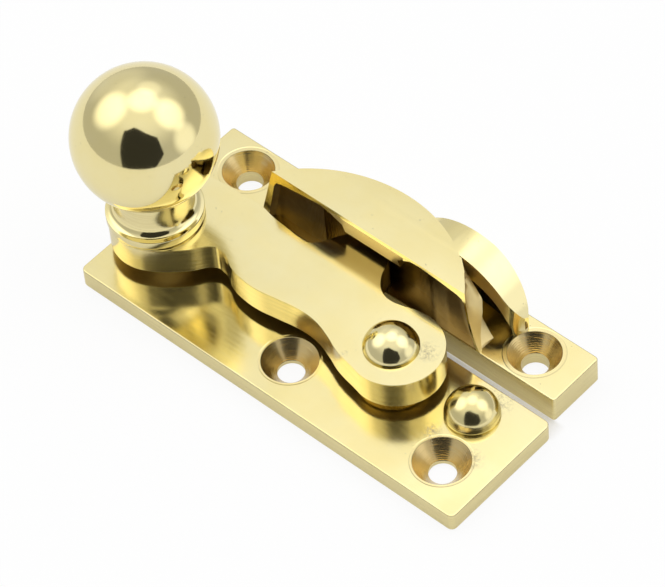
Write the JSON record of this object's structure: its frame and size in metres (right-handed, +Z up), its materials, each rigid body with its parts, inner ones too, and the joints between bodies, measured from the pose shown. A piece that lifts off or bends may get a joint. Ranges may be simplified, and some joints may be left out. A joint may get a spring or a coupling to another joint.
{
  "type": "sash window fastener",
  "caption": "Polished brass sash window fastener: a ball-knobbed lever riveted to a base plate, with its cam closed inside a hooded keep",
  "frame": {"origin": "the middle of the base plate's underside", "axes": "+X along the plates from the knob end to the stop end, +Y across them from the base plate to the keep, +Z up out of the sash rail"},
  "size_m": [0.075, 0.0329, 0.0362],
  "materials": {
    "polished_brass": "buffed, with fine brush marks left along it",
    "satin_brass": "linished, with short fine scratches",
    "mirror_brass": "mirror polished"
  },
  "bodies": {
    "fixed": {"base_plate": "polished_brass", "keep": "polished_brass", "pivot_rivet": "mirror_brass", "pivot_washer": "satin_brass", "stop_rivet": "mirror_brass"},
    "lever": {"lever_arm": "satin_brass", "knob": "mirror_brass"}
  },
  "joints": [
    {"name": "lever_pivot", "type": "hinge", "parent": "fixed", "child": "lever", "pos_m": [0.0125, 0.0033, 0.0049], "axis": [0, 0, 1], "range_deg": [0, 150]}
  ]
}
